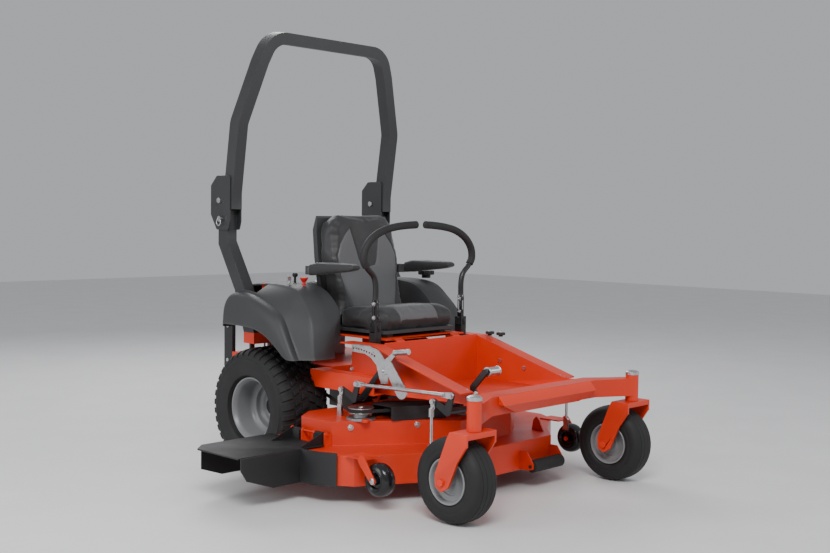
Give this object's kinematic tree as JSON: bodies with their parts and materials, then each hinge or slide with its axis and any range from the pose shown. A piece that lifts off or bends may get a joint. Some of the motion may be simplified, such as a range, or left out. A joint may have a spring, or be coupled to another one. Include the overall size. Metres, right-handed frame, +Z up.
{
  "type": "zero turn mower",
  "caption": "Ride-on mower with twin control levers, folding roll-over hoop, swivelling front casters, driven rear wheels and a side-discharge cutting deck.",
  "frame": {"origin": "middle of the machine's footprint on the ground, with the chute down", "axes": "+Z up, the front faces -Y, +X is the operator's left"},
  "size_m": [1.745, 1.937, 2.0043],
  "materials": {
    "orange": "semi-gloss",
    "black_paint": "satin",
    "grey_rops": "satin",
    "grey_plastic": "moulded grain",
    "black_plastic": "moulded grain",
    "red_plastic": "gloss",
    "zinc": "zinc plated",
    "rim_grey": "satin",
    "tyre": "matt",
    "rubber": "matt",
    "seat_vinyl": "grained vinyl",
    "engine_metal": "cast",
    "blade_steel": "ground"
  },
  "bodies": {
    "chassis": {"main_frame": "orange", "front_axle": "orange", "bumper_plate": "orange", "footwell": "orange", "rear_guard": "black_paint", "rops_uprights": "grey_rops", "right_fender": "grey_plastic", "left_fender": "grey_plastic", "engine": "engine_metal", "engine_shroud": "black_plastic", "muffler": "black_paint", "transaxles": "black_paint", "height_quadrant": "zinc", "fasteners": "zinc"},
    "rops_hoop": {"rops_hoop": "grey_rops"},
    "lock_pin_right": {"rops_lock_pin_right": "zinc"},
    "lock_pin_left": {"rops_lock_pin_left": "zinc"},
    "pto_knob": {"pto_knob": "red_plastic"},
    "ignition_key": {"ignition_key": "zinc"},
    "throttle": {"throttle_lever": "black_plastic"},
    "fuel_cap": {"fuel_cap": "black_plastic"},
    "seat_platform": {"seat_platform": "orange"},
    "seat": {"seat_base": "grey_plastic", "seat_cushion": "seat_vinyl", "seat_back": "seat_vinyl"},
    "armrest_right": {"armrest_right": "seat_vinyl"},
    "armrest_left": {"armrest_left": "seat_vinyl"},
    "yoke_right": {"lever_yoke_right": "black_paint"},
    "yoke_left": {"lever_yoke_left": "black_paint"},
    "lever_right": {"control_lever_right": "black_paint"},
    "lever_left": {"control_lever_left": "black_paint"},
    "engine_pulley": {"engine_pulley": "engine_metal"},
    "deck": {"deck_shell": "orange", "deck_brackets": "orange", "lift_links": "zinc", "spindle_housings": "engine_metal", "belt_covers": "black_plastic", "deck_belt": "rubber"},
    "blade_right": {"spindle_right": "blade_steel"},
    "blade_centre": {"spindle_centre": "blade_steel"},
    "blade_left": {"spindle_left": "blade_steel"},
    "chute": {"chute": "black_plastic"},
    "scalp_wheel_right": {"anti_scalp_wheel_right": "rubber"},
    "scalp_wheel_left": {"anti_scalp_wheel_left": "rubber"},
    "front_roller": {"front_roller": "rubber"},
    "front_lift": {"front_lift_shaft": "black_paint"},
    "pedal_roller": {"pedal_roller": "zinc"},
    "rear_lift": {"rear_lift_shaft": "black_paint"},
    "lift_rod": {"lift_rod": "zinc"},
    "height_lever": {"height_lever": "zinc"},
    "fork_right": {"caster_fork_right": "orange"},
    "fork_left": {"caster_fork_left": "orange"},
    "caster_wheel_right": {"caster_rim_right": "rim_grey", "caster_tyre_right": "tyre"},
    "caster_wheel_left": {"caster_rim_left": "rim_grey", "caster_tyre_left": "tyre"},
    "rear_wheel_right": {"rear_rim_right": "rim_grey", "rear_tyre_right": "tyre"},
    "rear_wheel_left": {"rear_rim_left": "rim_grey", "rear_tyre_left": "tyre"}
  },
  "joints": [
    {"name": "rops_fold", "type": "hinge", "parent": "chassis", "child": "rops_hoop", "pos_m": [0.1675, 0.6885, 1.215], "axis": [-1, 0, 0], "range_deg": [0, 115]},
    {"name": "lock_pin_right_pull", "type": "slide", "parent": "chassis", "child": "lock_pin_right", "axis": [-1, 0, 0], "range_m": [0, 0.1]},
    {"name": "lock_pin_left_pull", "type": "slide", "parent": "chassis", "child": "lock_pin_left", "axis": [1, 0, 0], "range_m": [0, 0.1]},
    {"name": "pto_pull", "type": "slide", "parent": "chassis", "child": "pto_knob", "axis": [0, 0, 1], "range_m": [0, 0.012]},
    {"name": "key_turn", "type": "hinge", "parent": "chassis", "child": "ignition_key", "pos_m": [-0.2525, 0.3085, 0.85], "axis": [0, 0, -1], "range_deg": [0, 60]},
    {"name": "throttle_move", "type": "hinge", "parent": "chassis", "child": "throttle", "pos_m": [-0.1845, 0.3485, 0.825], "axis": [1, 0, 0], "range_deg": [-25, 25]},
    {"name": "fuel_cap_turn", "type": "hinge", "parent": "chassis", "child": "fuel_cap", "pos_m": [0.5975, 0.2635, 0.85], "axis": [0, 0, 1], "continuous": true},
    {"name": "seat_tilt", "type": "hinge", "parent": "chassis", "child": "seat_platform", "pos_m": [0.1675, -0.1645, 0.6], "axis": [1, 0, 0], "range_deg": [0, 10]},
    {"name": "seat_slide", "type": "slide", "parent": "seat_platform", "child": "seat", "axis": [0, -1, 0], "range_m": [-0.05, 0.05]},
    {"name": "armrest_right_raise", "type": "hinge", "parent": "seat", "child": "armrest_right", "pos_m": [-0.1425, 0.2885, 0.9], "axis": [-1, 0, 0], "range_deg": [0, 90]},
    {"name": "lever_right_drive", "type": "hinge", "parent": "chassis", "child": "yoke_right", "pos_m": [-0.1315, -0.1015, 0.575], "axis": [1, 0, 0], "range_deg": [-9, 14], "stiffness_Nm_per_rad": 40},
    {"name": "lever_right_swing", "type": "hinge", "parent": "yoke_right", "child": "lever_right", "pos_m": [-0.1115, -0.1015, 0.672], "axis": [0, -1, 0], "range_deg": [0, 35]},
    {"name": "armrest_left_raise", "type": "hinge", "parent": "seat", "child": "armrest_left", "pos_m": [0.4775, 0.2885, 0.9], "axis": [-1, 0, 0], "range_deg": [0, 90]},
    {"name": "lever_left_drive", "type": "hinge", "parent": "chassis", "child": "yoke_left", "pos_m": [0.4665, -0.1015, 0.575], "axis": [1, 0, 0], "range_deg": [-9, 14], "stiffness_Nm_per_rad": 40},
    {"name": "lever_left_swing", "type": "hinge", "parent": "yoke_left", "child": "lever_left", "pos_m": [0.4465, -0.1015, 0.672], "axis": [0, 1, 0], "range_deg": [0, 35]},
    {"name": "engine_spin", "type": "hinge", "parent": "chassis", "child": "engine_pulley", "pos_m": [0.1675, 0.6135, 0.34], "axis": [0, 0, 1], "continuous": true},
    {"name": "deck_lift", "type": "slide", "parent": "chassis", "child": "deck", "axis": [0, 0, 1], "range_m": [-0.058, 0], "deforming": ["deck_belt"]},
    {"name": "blade_right_spin", "type": "hinge", "parent": "deck", "child": "blade_right", "pos_m": [-0.2725, -0.1865, 0.13], "axis": [0, 0, 1], "continuous": true},
    {"name": "blade_centre_spin", "type": "hinge", "parent": "deck", "child": "blade_centre", "pos_m": [0.1675, -0.3815, 0.13], "axis": [0, 0, 1], "continuous": true},
    {"name": "blade_left_spin", "type": "hinge", "parent": "deck", "child": "blade_left", "pos_m": [0.6075, -0.1865, 0.13], "axis": [0, 0, 1], "continuous": true},
    {"name": "chute_fold", "type": "hinge", "parent": "deck", "child": "chute", "pos_m": [-0.4325, 0.0135, 0.25], "axis": [0, 1, 0], "range_deg": [0, 80]},
    {"name": "scalp_right_roll", "type": "hinge", "parent": "deck", "child": "scalp_wheel_right", "pos_m": [-0.4615, -0.4945, 0.126], "axis": [1, 0, 0], "continuous": true},
    {"name": "scalp_left_roll", "type": "hinge", "parent": "deck", "child": "scalp_wheel_left", "pos_m": [0.7965, -0.4945, 0.126], "axis": [1, 0, 0], "continuous": true},
    {"name": "front_roller_roll", "type": "hinge", "parent": "deck", "child": "front_roller", "pos_m": [0.3575, -0.6815, 0.1], "axis": [1, 0, 0], "continuous": true},
    {"name": "front_lift_turn", "type": "hinge", "parent": "chassis", "child": "front_lift", "pos_m": [0.1675, -0.6665, 0.392], "axis": [1, 0, 0], "range_deg": [-46, 0]},
    {"name": "rear_lift_turn", "type": "hinge", "parent": "chassis", "child": "rear_lift", "pos_m": [0.1675, -0.1365, 0.38], "axis": [1, 0, 0], "range_deg": [-46, 0]},
    {"name": "pedal_roller_roll", "type": "hinge", "parent": "front_lift", "child": "pedal_roller", "pos_m": [-0.0505, -0.7105, 0.537], "axis": [1, 0, 0], "continuous": true},
    {"name": "lift_rod_slide", "type": "slide", "parent": "chassis", "child": "lift_rod", "axis": [0, 1, 0], "range_m": [0, 0.055]},
    {"name": "height_select", "type": "hinge", "parent": "chassis", "child": "height_lever", "pos_m": [-0.2275, -0.2685, 0.508], "axis": [1, 0, 0], "range_deg": [-10, 14]},
    {"name": "caster_right_swivel", "type": "hinge", "parent": "chassis", "child": "fork_right", "pos_m": [-0.3615, -0.8865, 0.4], "axis": [0, 0, 1], "continuous": true},
    {"name": "caster_right_roll", "type": "hinge", "parent": "fork_right", "child": "caster_wheel_right", "pos_m": [-0.3615, -0.8035, 0.165], "axis": [1, 0, 0], "continuous": true},
    {"name": "rear_wheel_right_roll", "type": "hinge", "parent": "chassis", "child": "rear_wheel_right", "pos_m": [-0.2625, 0.5075, 0.277], "axis": [1, 0, 0], "continuous": true},
    {"name": "caster_left_swivel", "type": "hinge", "parent": "chassis", "child": "fork_left", "pos_m": [0.6965, -0.8865, 0.4], "axis": [0, 0, 1], "continuous": true},
    {"name": "caster_left_roll", "type": "hinge", "parent": "fork_left", "child": "caster_wheel_left", "pos_m": [0.6965, -0.8035, 0.165], "axis": [1, 0, 0], "continuous": true},
    {"name": "rear_wheel_left_roll", "type": "hinge", "parent": "chassis", "child": "rear_wheel_left", "pos_m": [0.5975, 0.5075, 0.277], "axis": [1, 0, 0], "continuous": true}
  ],
  "couplings": [
    {"joint": "front_lift_turn", "follows": "deck_lift", "rad_per_m": 13.33},
    {"joint": "rear_lift_turn", "follows": "deck_lift", "rad_per_m": 13.33},
    {"joint": "lift_rod_slide", "follows": "deck_lift", "ratio": -0.925},
    {"joint": "blade_right_spin", "follows": "engine_spin", "ratio": 1},
    {"joint": "blade_centre_spin", "follows": "engine_spin", "ratio": 1},
    {"joint": "blade_left_spin", "follows": "engine_spin", "ratio": 1}
  ]
}
